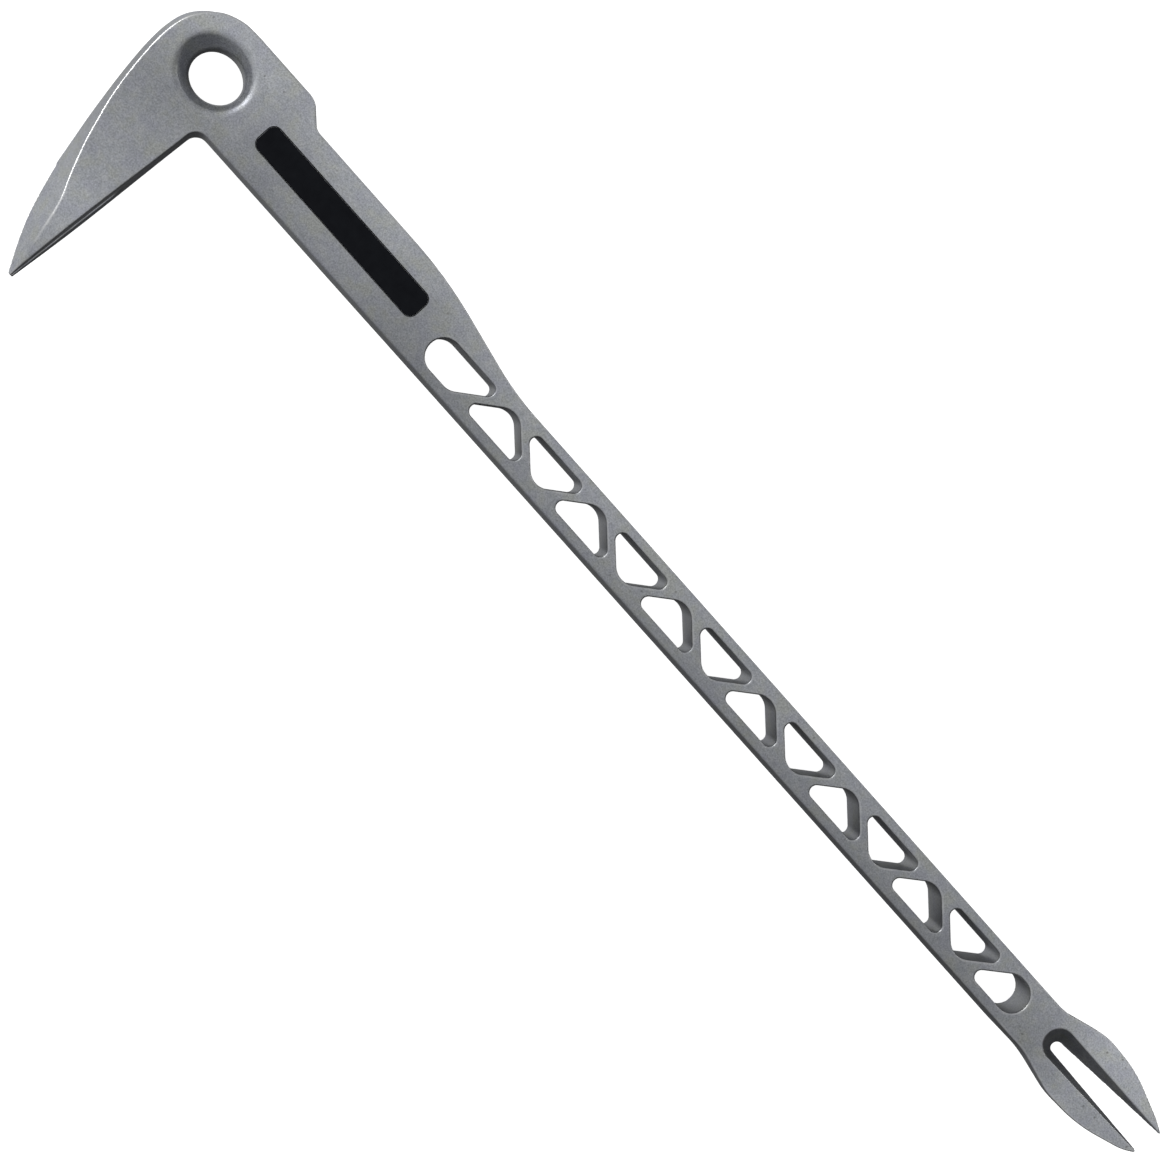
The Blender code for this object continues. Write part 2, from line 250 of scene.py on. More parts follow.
def bar_outline():
    """The bar's side view. The back of the head and spike is cut by the spine's facets instead."""
    centre = FORK_CENTRE_Y
    lower = [
        (15.9, SPIKE_TIP_Y, 0.25),
        (HOOK_INNER_X, -SHANK_HALF, 2.6),
        (FORK_NECK_X, -SHANK_HALF, 14),
        *[(x, centre - away_y, radius) for x, away_y, radius in PRONG_CORNERS],
        (LOWER_TIP_X, centre - FORK_TIP_HALF_GAP, 0),
    ]
    upper = [
        (LENGTH, centre + FORK_TIP_HALF_GAP, 0),
        *[(x, centre + away_y, radius) for x, away_y, radius in reversed(PRONG_CORNERS)],
        (FORK_NECK_X, SHANK_HALF, 14),
        (95.6, SHANK_HALF, 60),
        (70.0, BADGE_EDGE_Y - 0.05, 90),
        (33.6, BADGE_EDGE_Y, 2.4),
        (29.3, HEAD_BACK_Y, 4.2),
        (-6.0, HEAD_BACK_Y, 0),
        (-6.0, -6.0, 0),
        (1.0, -40.0, 0),
        (8.8, SPIKE_TIP_Y, 0),
    ]
    return rounded(lower + upper)


def truss_opening(index):
    """Centre, base height, half base and apex height. Even openings stand on the -Y rail."""
    centre = TRUSS_FIRST_X + index * TRUSS_PITCH / 2
    side = -1 if index % 2 == 0 else 1
    base = TRUSS_CENTRE_Y + side * TRUSS_HALF_HEIGHT
    apex = TRUSS_CENTRE_Y - side * TRUSS_HALF_WAIST * math.tan(BRACE_ANGLE)
    half_base = TRUSS_HALF_WAIST + TRUSS_HALF_HEIGHT / math.tan(BRACE_ANGLE)
    return centre, base, half_base, apex


def truss_outlines():
    outlines = []
    for index in range(TRUSS_COUNT - 1):
        centre, base, half_base, apex = truss_opening(index)
        corners = [
            (centre - half_base, base, CORNER_RADIUS),
            (centre + half_base, base, CORNER_RADIUS),
            (centre, apex, APEX_RADIUS),
        ]
        outlines.append(rounded(corners))
    lean = TRUSS_HALF_WAIST - TRUSS_HALF_HEIGHT / math.tan(BRACE_ANGLE)
    # The round-ended slot leans on the first brace
    centre, base, half_base, _ = truss_opening(-1)
    opposite = 2 * TRUSS_CENTRE_Y - base
    slot = [
        (SLOT_LEFT_X, base, END_RADIUS),
        (centre + half_base, base, CORNER_RADIUS),
        (centre + lean, opposite, APEX_RADIUS),
        (SLOT_LEFT_X, opposite, END_RADIUS),
    ]
    # The last opening leans on the last brace and ends round
    centre, base, half_base, _ = truss_opening(TRUSS_COUNT - 1)
    opposite = 2 * TRUSS_CENTRE_Y - base
    last = [
        (centre - half_base, base, CORNER_RADIUS),
        (LAST_RIGHT_X, base, END_RADIUS),
        (LAST_RIGHT_X, opposite, END_RADIUS),
        (centre - lean, opposite, APEX_RADIUS),
    ]
    return [*outlines, rounded(slot), rounded(last)]


def inlay_outline(grow):
    x, y = INLAY_CENTRE
    half_x, half_y = INLAY_SIZE[0] / 2 + grow, INLAY_SIZE[1] / 2 + grow
    corners = [
        (x - half_x, y - half_y, INLAY_CORNER + grow),
        (x + half_x, y - half_y, INLAY_CORNER + grow),
        (x + half_x, y + half_y, INLAY_CORNER + grow),
        (x - half_x, y + half_y, INLAY_CORNER + grow),
    ]
    return rounded(corners)


def smooth_table(stations):
    """Heights and widths at even steps, with the corners between the stations rounded off."""
    spread, step = TABLE_SPREAD, TABLE_STEP
    heights, widths = np.array(stations, float)[::-1].T
    even = np.arange(heights[0], heights[-1], step)
    reach = np.arange(-4 * spread, 4 * spread + step, step)
    weights = np.exp(-0.5 * (reach / spread) ** 2)
    padded = np.pad(np.interp(even, heights, widths), len(reach) // 2, mode="edge")
    return even, np.convolve(padded, weights / weights.sum(), mode="valid")[: len(even)]


def smooth_curve(stations):
    """A Catmull-Rom curve through the stations, as many numbers wide as they are."""
    points = np.array(stations, float)
    padded = np.vstack([2 * points[0] - points[1], points, 2 * points[-1] - points[-2]])
    out = []
    for before, start, end, after in zip(padded, padded[1:], padded[2:], padded[3:]):
        for t in np.arange(CURVE_PIECES) / CURVE_PIECES:
            out.append(
                0.5
                * (
                    2 * start
                    + (end - before) * t
                    + (2 * before - 5 * start + 4 * end - after) * t**2
                    + (3 * start - before - 3 * end + after) * t**3
                )
            )
    return np.array([*out, points[-1]])


# --- Distance fields ----------------------------------------------------------------------------
# A field is a list: its value, then its slopes along x, y and z. On the sampling grid only the value
# is worked out.


def path_normals(path, closed):
    """Unit normals at a path's points, to the right of its direction."""
    if closed:
        step = np.roll(path, -1, axis=0) - path
        before = np.roll(step, 1, axis=0)
    else:
        step = np.diff(path, axis=0)
        before, step = np.vstack([step[:1], step]), np.vstack([step, step[-1:]])
    normals = [
        np.stack([part[:, 1], -part[:, 0]], 1)
        / np.maximum(np.linalg.norm(part, axis=1, keepdims=True), TINY)
        for part in (before, step)
    ]
    mean = normals[0] + normals[1]
    return mean / np.maximum(np.linalg.norm(mean, axis=1, keepdims=True), TINY)


def nearest(x, y, path, closed):
    """Distance to a path, the direction away from it, and the segment and share where it is nearest.

    Close to the path the direction is the path's own normal, to its right.
    """
    shape = np.broadcast(x, y).shape
    best = np.full(shape, np.inf)
    off_x, off_y, along = np.zeros(shape), np.zeros(shape), np.zeros(shape)
    segment = np.zeros(shape, int)
    ends = np.roll(path, -1, axis=0) if closed else path[1:]
    for index, (start, end) in enumerate(zip(path, ends)):
        step = end - start
        from_x, from_y = x - start[0], y - start[1]
        t = np.clip((from_x * step[0] + from_y * step[1]) / (step @ step + TINY), 0, 1)
        dx, dy = from_x - t * step[0], from_y - t * step[1]
        square = dx * dx + dy * dy
        closer = square < best
        best = np.where(closer, square, best)
        off_x = np.where(closer, dx, off_x)
        off_y = np.where(closer, dy, off_y)
        along = np.where(closer, t, along)
        segment = np.where(closer, index, segment)
    far = np.sqrt(best)
    normals = path_normals(path, closed)
    following = (segment + 1) % len(normals)
    smooth = normals[segment] * (1 - along[..., None]) + normals[following] * along[..., None]
    side = np.where(off_x * smooth[..., 0] + off_y * smooth[..., 1] < 0, -1.0, 1.0)
    close = far < CLOSE
    length = np.maximum(far, TINY)
    away_x = np.where(close, smooth[..., 0], side * off_x / length)
    away_y = np.where(close, smooth[..., 1], side * off_y / length)
    return side * far, away_x, away_y, segment, along


def inside_edges(x, y, starts, ends):
    """Whether points lie inside the region that these edges bound, in any order."""
    inside = np.zeros(np.broadcast(x, y).shape, bool)
    for (ax, ay), (bx, by) in zip(starts, ends):
        if ay != by:
            inside ^= ((ay > y) != (by > y)) & (x < (bx - ax) * (y - ay) / (by - ay) + ax)
    return inside


def outline_field(x, y, outline):
    """Distance to a closed outline, negative inside it."""
    right, away_x, away_y, _, _ = nearest(x, y, outline, closed=True)
    following = np.roll(outline, -1, axis=0)
    value = np.where(inside_edges(x, y, outline, following), -1.0, 1.0) * np.abs(right)
    area = (outline[:, 0] * following[:, 1] - outline[:, 1] * following[:, 0]).sum()
    outward = 1.0 if area > 0 else -1.0
    return [value, outward * away_x, outward * away_y, 0 * value]


def openings_field(x, y):
    """Distance to the nearest truss opening, capped at a short reach from each."""
    reach = OPENING_REACH
    shape = np.broadcast(x, y).shape
    full_x, full_y = np.broadcast_to(x, shape), np.broadcast_to(y, shape)
    field = [np.full(shape, reach), np.zeros(shape), np.zeros(shape), np.zeros(shape)]
    for outline in TRUSS_OUTLINES:
        low, high = outline.min(0) - reach, outline.max(0) + reach
        near = (full_x > low[0]) & (full_x < high[0]) & (full_y > low[1]) & (full_y < high[1])
        local = outline_field(full_x[near], full_y[near], outline)
        closer = local[0] < field[0][near]
        for total, part in zip(field, local):
            total[near] = np.where(closer, part, total[near])
    return field


def side_field(y, z):
    """The two sides, which flare apart towards the middle of the spike."""
    heights, widths = WIDTH_TABLE
    slope = np.interp(y, heights, np.gradient(widths, heights))
    shrink = 1 / np.sqrt(1 + slope**2)
    value = (np.abs(z) - np.interp(y, heights, widths)) * shrink
    return [value, 0 * value, -slope * shrink + 0 * value, np.sign(z) * shrink]


def spine_field(x, y, z):
    """The facets that fall away on each side of the spine down the back."""
    path, slopes = SPINE_CURVE[:, :2], SPINE_CURVE[:, 2]
    right, away_x, away_y, segment, along = nearest(x, y, path, closed=False)
    slope = slopes[segment] * (1 - along) + slopes[segment + 1] * along
    soft = np.sqrt(z**2 + SPINE_SOFTNESS**2)
    shrink = 1 / np.sqrt(1 + slope**2)
    value = (right + slope * (soft - SPINE_SOFTNESS)) * shrink
    flat = 0 * value
    return [
        value,
        flat + away_x * shrink,
        flat + away_y * shrink,
        flat + slope * z / soft * shrink,
    ]


def underside_field(x, y, z):
    """The fork's underside: it rises to the tips, with a low roof across it."""
    low, high = -HALF_THICKNESS, HALF_THICKNESS - FORK_TIP_DEPTH
    rise = (high - low) / (LENGTH - FORK_BACK_START_X)
    past = x - FORK_BACK_START_X
    blend = FORK_BACK_BLEND
    easing = np.clip(past + blend, 0, 2 * blend)
    height = rise * (easing**2 / (4 * blend) + np.maximum(past - blend, 0))
    tilt = rise * easing / (2 * blend)
    roof_x, roof_slope = np.array(FORK_ROOF).T
    roof = np.interp(x, roof_x, roof_slope)
    across = y - FORK_CENTRE_Y
    soft = np.sqrt(across**2 + SPINE_SOFTNESS**2)
    shrink = 1 / np.sqrt(1 + tilt**2 + roof**2)
    sink = np.clip((FORK_ROOF[0][0] - x) / 2, 0, 4)
    value = (low + height + roof * (soft - SPINE_SOFTNESS) - z - sink) * shrink
    flat = 0 * value
    return [
        value,
        flat + tilt * shrink,
        flat + roof * across / soft * shrink,
        flat - shrink,
    ]


def slot_field(run, across, height, half_width):
    """A nail slot: run is from its root along the claw, height is negative into the metal."""
    height = np.minimum(height, SLOT_TOP)
    half = half_width + SLOT_WALL_SLOPE * height
    past = run + SLOT_ROOT_SLOPE * height - half
    in_root = past < 0
    reach = np.maximum(np.hypot(past, across), TINY)
    value = np.where(in_root, reach, np.abs(across) + SLOT_TAPER * past) - half
    shrink = 1 / math.sqrt(1 + SLOT_WALL_SLOPE**2)
    past_by_height = SLOT_ROOT_SLOPE - SLOT_WALL_SLOPE
    by_run = np.where(in_root, past / reach, SLOT_TAPER)
    by_across = np.where(in_root, across / reach, np.sign(across))
    by_height = by_run * past_by_height - SLOT_WALL_SLOPE
    return [part * shrink for part in (value, by_run, by_across, by_height)]


def fork_slot_field(x, y, z):
    middle = (FORK_ROOT_X + LENGTH) / 2
    across = y - FORK_CENTRE_Y - FORK_SLOT_TURN * (x - middle)
    value, run, across, height = slot_field(
        x - FORK_ROOT_X, across, z - HALF_THICKNESS, FORK_HALF_SLOT
    )
    return [value, run - FORK_SLOT_TURN * across, across, height]


def spike_slot_field(x, y, z):
    value, run, across, height = slot_field(
        SPIKE_ROOT_Y - y, -z, x - SPIKE_SLOT_X, SPIKE_HALF_SLOT
    )
    return [value, height, -run, -across]


def oval_field(x, y, centre, half):
    """Distance to an upright oval, nearly, negative inside it."""
    off_x, off_y = x - centre[0], y - centre[1]
    reach = np.maximum(np.hypot(off_x / half[0], off_y / half[1]), TINY)
    by_x, by_y = off_x / (half[0] ** 2 * reach), off_y / (half[1] ** 2 * reach)
    slope = np.maximum(np.hypot(by_x, by_y), TINY)
    return [(reach - 1) / slope, by_x / slope, by_y / slope, 0 * reach]


def mouth_field(x, y, z):
    """The countersink at both ends of the eye."""
    shrink = 1 / math.sqrt(1 + MOUTH_SLOPE**2)
    value, by_x, by_y, flat = oval_field(x, y, MOUTH_CENTRE, MOUTH_HALF)
    value = value + MOUTH_SLOPE * (HALF_THICKNESS - np.abs(z))
    by_z = -MOUTH_SLOPE * np.sign(z) + flat
    return [part * shrink for part in (value, by_x + 0 * value, by_y + 0 * value, by_z)]


def meet(a, b, radius):
    """What is inside both fields, with the edge between them rounded."""
    over_a, over_b = np.maximum(a[0] + radius, 0), np.maximum(b[0] + radius, 0)
    length = np.hypot(over_a, over_b)
    value = np.minimum(np.maximum(a[0], b[0]), -radius) + length
    if len(a) == 1:
        return [value]
    safe = np.maximum(length, TINY)
    rounded_part = (over_a > 0) | (over_b > 0)
    a_bigger = a[0] > b[0]
    slopes = [
        np.where(rounded_part, (over_a * da + over_b * db) / safe, np.where(a_bigger, da, db))
        for da, db in zip(a[1:], b[1:])
    ]
    return [value, *slopes]


def away(field):
    return [-part for part in field]


WIDTH_TABLE = smooth_table(SPIKE_WIDTHS)
SPINE_CURVE = np.vstack([(60.0, HEAD_SPINE[0][1], 0.0), smooth_curve(HEAD_SPINE)])
BAR_OUTLINE = bar_outline()
TRUSS_OUTLINES = truss_outlines()


def casting_field(x, y, z, slopes=True):
    """The whole casting. Without slopes it gives only the value."""
    kept = 4 if slopes else 1
    outer = outline_field(x, y, BAR_OUTLINE)[:kept]
    sides = side_field(y, z)[:kept]
    body = meet(outer, sides, np.interp(x, SIDE_EDGE_THINS_X, (EDGE, TIP_EDGE)))
    body = meet(body, spine_field(x, y, z)[:kept], FACET_EDGE)
    under_edge = np.interp(x, UNDER_EDGE_THINS_X, (EDGE, TIP_EDGE))
    body = meet(body, underside_field(x, y, z)[:kept], under_edge)
    body = meet(body, away(openings_field(x, y)[:kept]), RIM)
    body = meet(body, away(mouth_field(x, y, z)[:kept]), MOUTH_EDGE)
    body = meet(body, away(oval_field(x, y, EYE_CENTRE, EYE_HALF)[:kept]), MOUTH_ROOT_EDGE)
    body = meet(body, away(fork_slot_field(x, y, z)[:kept]), SLOT_EDGE)
    return meet(body, away(spike_slot_field(x, y, z)[:kept]), SLOT_EDGE)


# --- Meshing ------------------------------------------------------------------------------------

CUBE_CORNERS = [(i, j, k) for i in (0, 1) for j in (0, 1) for k in (0, 1)]
CUBE_EDGES = [
    (a, b)
    for a in range(8)
    for b in range(a + 1, 8)
    if sum(abs(p - q) for p, q in zip(CUBE_CORNERS[a], CUBE_CORNERS[b])) == 1
]


def surface_net(values, axes):
    """Vertices and outward quads of the surface where the sampled values change sign."""
    inside = values < 0
    cells = tuple(n - 1 for n in values.shape)
    count = np.zeros(cells, np.int8)
    for corner in CUBE_CORNERS:
        count += inside[tuple(slice(c, c + n) for c, n in zip(corner, cells))]
    active = (count > 0) & (count < 8)
    where = np.argwhere(active)
    number = np.full(cells, -1)
    number[active] = np.arange(len(where))
    corner_values = np.stack([values[tuple((where + corner).T)] for corner in CUBE_CORNERS], 1)
    total, crossings = np.zeros((len(where), 3)), np.zeros(len(where))
    for a, b in CUBE_EDGES:
        va, vb = corner_values[:, a], corner_values[:, b]
        crosses = (va < 0) != (vb < 0)
        share = np.where(crosses, va / np.where(va == vb, 1, va - vb), 0)[:, None]
        spot = np.array(CUBE_CORNERS[a]) * (1 - share) + np.array(CUBE_CORNERS[b]) * share
        total += spot * crosses[:, None]
        crossings += crosses
    spots = where + total / crossings[:, None]
    points = np.stack(
        [np.interp(spots[:, i], np.arange(len(axes[i])), axes[i]) for i in range(3)], 1
    )
    quads = []
    for axis in range(3):
        u, v = np.eye(3, dtype=int)[(axis + 1) % 3], np.eye(3, dtype=int)[(axis + 2) % 3]
        start = np.take(inside, range(inside.shape[axis] - 1), axis)
        end = np.take(inside, range(1, inside.shape[axis]), axis)
        spots = np.argwhere(start != end)
        around = [spots - du * u - dv * v for du, dv in ((1, 1), (0, 1), (0, 0), (1, 0))]
        faces = np.stack([number[tuple(cells_there.T)] for cells_there in around], 1)
        outward = start[tuple(spots.T)]
        quads.append(np.where(outward[:, None], faces, faces[:, ::-1]))
    return points, np.vstack(quads)


def pull_onto_field(points, rounds):
    """Moves points onto the field's surface and gives the outward normals there."""
    for _ in range(rounds):
        field = casting_field(*points.T)
        slope = np.stack(field[1:], 1)
        square = np.maximum((slope**2).sum(1), 0.2)
        step = (field[0] / square)[:, None] * slope
        size = np.linalg.norm(step, axis=1, keepdims=True)
        points = points - step * np.minimum(1, 0.6 * CELL / np.maximum(size, TINY))
    field = casting_field(*points.T)
    slope = np.stack(field[1:], 1)
    return points, slope / np.maximum(np.linalg.norm(slope, axis=1, keepdims=True), TINY)


def sample_casting():
    axes = [
        np.arange(-2.5 * CELL, LENGTH + 3 * CELL, CELL),
        np.arange(SPIKE_TIP_Y - 2.5 * CELL, HEAD_BACK_Y + 3 * CELL, CELL),
        np.arange(-MOST_HALF_WIDTH - CELL / 2, MOST_HALF_WIDTH + CELL, CELL),
    ]
    x, y, z = axes[0][:, None, None], axes[1][None, :, None], axes[2][None, None, :]
    values = casting_field(x + 0 * y, y + 0 * x, z, slopes=False)[0]
    return values, axes


def thinned(points, faces):
    """The mesh as triangles, with fewer of them where it is flat."""
    mesh = bpy.data.meshes.new("thinned")
    mesh.from_pydata(points.tolist(), [], faces.tolist())
    drawn = bpy.data.objects.new("thinned", mesh)
    bpy.context.scene.collection.objects.link(drawn)
    collapse = drawn.modifiers.new("Decimate", "DECIMATE")
    collapse.ratio = min(1, MOST_TRIANGLES / (2 * len(faces)))
    collapse.use_collapse_triangulate = True
    bpy.context.view_layer.update()
    made = drawn.evaluated_get(bpy.context.evaluated_depsgraph_get()).to_mesh()
    made.calc_loop_triangles()
    out_points = np.empty(len(made.vertices) * 3)
    made.vertices.foreach_get("co", out_points)
    out_faces = np.empty(len(made.loop_triangles) * 3, int)
    made.loop_triangles.foreach_get("vertices", out_faces)
    drawn.evaluated_get(bpy.context.evaluated_depsgraph_get()).to_mesh_clear()
    bpy.data.objects.remove(drawn)
    return out_points.reshape(-1, 3), out_faces.reshape(-1, 3)


def rim_rings(grow, radius, top, side):
    """Rings (outline, height, normals) round a rounded edge: side 1 for a plate, -1 for a pocket."""
    rings = []
    for angle in (math.pi / 2 * i / EDGE_PIECES for i in range(EDGE_PIECES + 1)):
        out = radius * (1 - math.sin(angle))
        outline = inlay_outline(grow - side * out)
        normals = side * path_normals(inlay_outline(grow), closed=True) * math.sin(angle)
        upright = np.full((len(outline), 1), math.cos(angle))
        height = top - radius * (1 - math.cos(angle))
        rings.append((outline, height, np.hstack([normals, upright])))
    return rings


def stack_rings(rings, first):
    """Points, normals and outward quads of rings, numbered from first. A plate's rings go down."""
    points, normals, faces = [], [], []
    count = len(rings[0][0])
    for level, (outline, height, ring_normals) in enumerate(rings):
        points.append(np.hstack([outline, np.full((count, 1), height)]))
        normals.append(ring_normals)
        if level == 0:
            continue
        above, below = first + (level - 1) * count, first + level * count
        for i in range(count):
            j = (i + 1) % count
            faces.append((above + i, below + i, below + j, above + j))
    return np.vstack(points), np.vstack(normals), faces


def cut_pocket(points, normals, faces):
    """Cuts the inlay's pocket into the flat near face, with a small round on its edge."""
    margin = POCKET_GAP + POCKET_EDGE
    top_outline = inlay_outline(margin)
    low, high = top_outline.min(0) - 0.3, top_outline.max(0) + 0.3
    corners = points[faces]
    flat = (np.abs(corners[:, :, 2] - HALF_THICKNESS) < 0.01).all(1)
    over = (corners[:, :, :2].max(1) > low).all(1) & (corners[:, :, :2].min(1) < high).all(1)
    removed, kept = faces[flat & over], faces[~(flat & over)]
    edges = {
        (int(face[i]), int(face[(i + 1) % 3])) for face in removed for i in range(3)
    }
    border = [edge for edge in edges if edge[::-1] not in edges]
    names = sorted({name for edge in border for name in edge})
    number = {name: index for index, name in enumerate(names)}
    count = len(top_outline)
    rim = list(range(len(names), len(names) + count))
    flat_points = [Vector(points[name][:2]) for name in names]
    flat_points += [Vector(point) for point in top_outline]
    flat_edges = [(number[a], number[b]) for a, b in border]
    flat_edges += list(zip(rim, rim[1:] + rim[:1]))
    drawn, _, filled, origin, _, _ = delaunay_2d_cdt(flat_points, flat_edges, [], 0, 1e-6)
    ring_start = len(points)
    rings = rim_rings(POCKET_GAP, POCKET_EDGE, HALF_THICKNESS, -1)
    floor = HALF_THICKNESS - INLAY_DEPTH - INLAY_THICKNESS - POCKET_GAP / 2
    wall_normals = rings[-1][2]
    bottom = inlay_outline(POCKET_GAP)
    rings.append((bottom, floor, wall_normals))
    new_points, new_normals, walls = stack_rings(rings, ring_start)
    floor_start = ring_start + len(new_points)
    new_points = np.vstack([new_points, np.hstack([bottom, np.full((count, 1), floor)])])
    new_normals = np.vstack([new_normals, np.tile([0, 0, 1], (count, 1))])
    home = [None] * len(drawn)
    for index, sources in enumerate(origin):
        source = sources[0]
        home[index] = names[source] if source < len(names) else ring_start + source - len(names)
    centres = np.array([np.mean([drawn[i] for i in face], axis=0) for face in filled])
    starts = np.array([points[a][:2] for a, _ in border])
    ends = np.array([points[b][:2] for _, b in border])
    in_region = inside_edges(*centres.T, starts, ends)
    in_pocket = inside_edges(*centres.T, top_outline, np.roll(top_outline, -1, axis=0))
    patch = [
        [home[i] for i in face] for face, yes in zip(filled, in_region & ~in_pocket) if yes
    ]
    everything = np.vstack([points, new_points])
    patch = [face if turn(everything, face) > 0 else face[::-1] for face in patch]
    cap = list(range(floor_start, floor_start + count))
    return everything, np.vstack([normals, new_normals]), kept.tolist() + patch + walls + [cap]


def turn(points, face):
    """Positive where a face's first three points run anticlockwise seen from above."""
    a, b, c = (points[i] for i in face[:3])
    return (b[0] - a[0]) * (c[1] - a[1]) - (b[1] - a[1]) * (c[0] - a[0])


def sharpness(points, normals, faces):
    """Mean bend of the surface at each vertex in 1/mm, positive on outer edges."""
    ends = np.vstack([faces[:, [0, 1]], faces[:, [1, 2]], faces[:, [2, 0]]])
    step = points[ends[:, 1]] - points[ends[:, 0]]
    bend = ((normals[ends[:, 1]] - normals[ends[:, 0]]) * step).sum(1)
    bend /= np.maximum((step**2).sum(1), 1e-4)
    total = np.bincount(ends[:, 0], bend, len(points)) + np.bincount(ends[:, 1], bend, len(points))
    count = np.bincount(ends.ravel(), minlength=len(points))
    return total / np.maximum(count, 1)


def mesh_object(name, points, faces, normals):
    mesh = bpy.data.meshes.new(name)
    mesh.from_pydata(place(points).tolist(), [], faces)
    mesh.shade_smooth()
    mesh.normals_split_custom_set_from_vertices(normals.tolist())
    made = bpy.data.objects.new(name, mesh)
    bpy.context.scene.collection.objects.link(made)
    return made


def point_attribute(mesh, name, values):
    layer = mesh.attributes.new(name, "FLOAT", "POINT")
    layer.data.foreach_set("value", np.asarray(values, np.float32))


def build_casting():
    values, axes = sample_casting()
    points, faces = surface_net(values, axes)
    points, _ = pull_onto_field(points, 2)
    points, faces = thinned(points, faces)
    points, normals = pull_onto_field(points, 1)
    bend = sharpness(points, normals, faces)
    recess_painted_shade = painted_recess_shade_mask(points, normals)
    ridge_highlight = ridge_painted_highlight(points)
    points, normals, faces = cut_pocket(points, normals, faces)
    extra = len(points) - len(bend)
    casting = mesh_object("claw_bar_body", points, faces, normals)
    point_attribute(casting.data, "bend", np.pad(bend, (0, extra)))
    point_attribute(casting.data, "recess_painted_shade", np.pad(recess_painted_shade, (0, extra), constant_values=1))
    point_attribute(casting.data, "ridge_highlight", np.pad(ridge_highlight, (0, extra)))
    return casting


def painted_recess_shade_mask(points, normals):
    """Painted shade: 1 on the walls of the openings and the nail slots, more in the eye, and 0 on open
    faces.
    """
    x, y, z = points.T
    eye = oval_field(x, y, EYE_CENTRE, EYE_HALF)[0]
    walls = np.minimum.reduce(
        [
            openings_field(x, y)[0],
            eye,
            fork_slot_field(x, y, z)[0],
            spike_slot_field(x, y, z)[0],
        ]
    )
    deeper = 1 + (EYE_PAINTED_SHADE - 1) * np.clip(1 - eye / RECESS_SHADE_REACH, 0, 1)
    near = np.clip(1 - walls / RECESS_SHADE_REACH, 0, 1)
    return deeper * near * np.clip(1.25 - np.abs(normals[:, 2]), 0, 1)


def ridge_painted_highlight(points):
    """Painted highlight: 1 along the edges between the spike's sides and its back facets, fading
    towards the point.
    """
    x, y, z = points.T
    near = np.abs(spine_field(x, y, z)[0]) + np.abs(side_field(y, z)[0])
    from_point = (y - RIDGE_HIGHLIGHT_LOW_Y) / RIDGE_HIGHLIGHT_LOW_FADE
    from_head = (RIDGE_HIGHLIGHT_HIGH_Y - y) / RIDGE_HIGHLIGHT_HIGH_FADE
    fade = np.clip(from_point, 0, 1) * np.clip(from_head, 0, 1)
    return np.clip(1.6 - near / RIDGE_HIGHLIGHT_WIDTH, 0, 1) * fade


def build_inlay():
    """The enamel strip, with a rounded upper edge."""
    top = HALF_THICKNESS - INLAY_DEPTH
    rings = rim_rings(0.0, INLAY_EDGE, top, 1)
    rings.append((inlay_outline(0.0), top - INLAY_THICKNESS, rings[-1][2]))
    points, normals, faces = stack_rings(rings, 0)
    count = len(rings[0][0])
    faces.append(list(range(count)))
    base = np.hstack([inlay_outline(0.0), np.full((count, 1), top - INLAY_THICKNESS)])
    start = len(points)
    points = np.vstack([points, base])
    normals = np.vstack([normals, np.tile([0, 0, -1], (count, 1))])
    faces.append(list(range(start + count - 1, start - 1, -1)))
    return mesh_object("badge_enamel", points, faces, normals)


# --- Materials ----------------------------------------------------------------------------------


class Nodes:
    """A material's nodes, with short calls that add one and link its inputs."""

    def __init__(self, name):
        self.material = bpy.data.materials.new(name)
        self.material.use_nodes = True
        self.tree = self.material.node_tree
        self.shader = self.tree.nodes["Principled BSDF"]

    def link(self, source, target):
        if isinstance(source, bpy.types.NodeSocket):
            self.tree.links.new(source, target)
        else:
            target.default_value = source

    def add(self, kind, inputs=(), **settings):
        node = self.tree.nodes.new(kind)
        for name, value in settings.items():
            setattr(node, name, value)
        for name, value in dict(inputs).items():
            self.link(value, node.inputs[name])
        return node

    def millimetres(self):
        place_at = self.add("ShaderNodeTexCoord").outputs["Object"]
        scaled = self.add("ShaderNodeVectorMath", {0: place_at, "Scale": 1 / MM}, operation="SCALE")
        return scaled.outputs[0]

    def noise(self, where, per_mm, detail=2.0, roughness=0.5):
        inputs = {"Vector": where, "Scale": per_mm, "Detail": detail, "Roughness": roughness}
        return self.add("ShaderNodeTexNoise", inputs).outputs["Fac"]

    def ramp(self, value, low, high, to_low=0.0, to_high=1.0):
        inputs = {"Value": value, "From Min": low, "From Max": high}
        inputs |= {"To Min": to_low, "To Max": to_high}
        return self.add("ShaderNodeMapRange", inputs).outputs["Result"]

    def math(self, operation, a, b):
        return self.add("ShaderNodeMath", {0: a, 1: b}, operation=operation).outputs[0]

    def mix(self, share, a, b, blend="MIX"):
        node = self.add("ShaderNodeMix", data_type="RGBA", blend_type=blend)
        self.link(share, node.inputs["Factor"])
        for source, target in ((a, node.inputs[6]), (b, node.inputs[7])):
            linked = isinstance(source, bpy.types.NodeSocket)
            self.link(source if linked else (*source, 1.0), target)
        return node.outputs[2]

    def attribute(self, name):
        return self.add("ShaderNodeAttribute", attribute_name=name).outputs["Fac"]

    def bump(self, height, depth, strength=1.0, normal=None):
        inputs = {"Height": height, "Distance": depth * MM, "Strength": strength}
        if normal is not None:
            inputs["Normal"] = normal
        return self.add("ShaderNodeBump", inputs).outputs["Normal"]


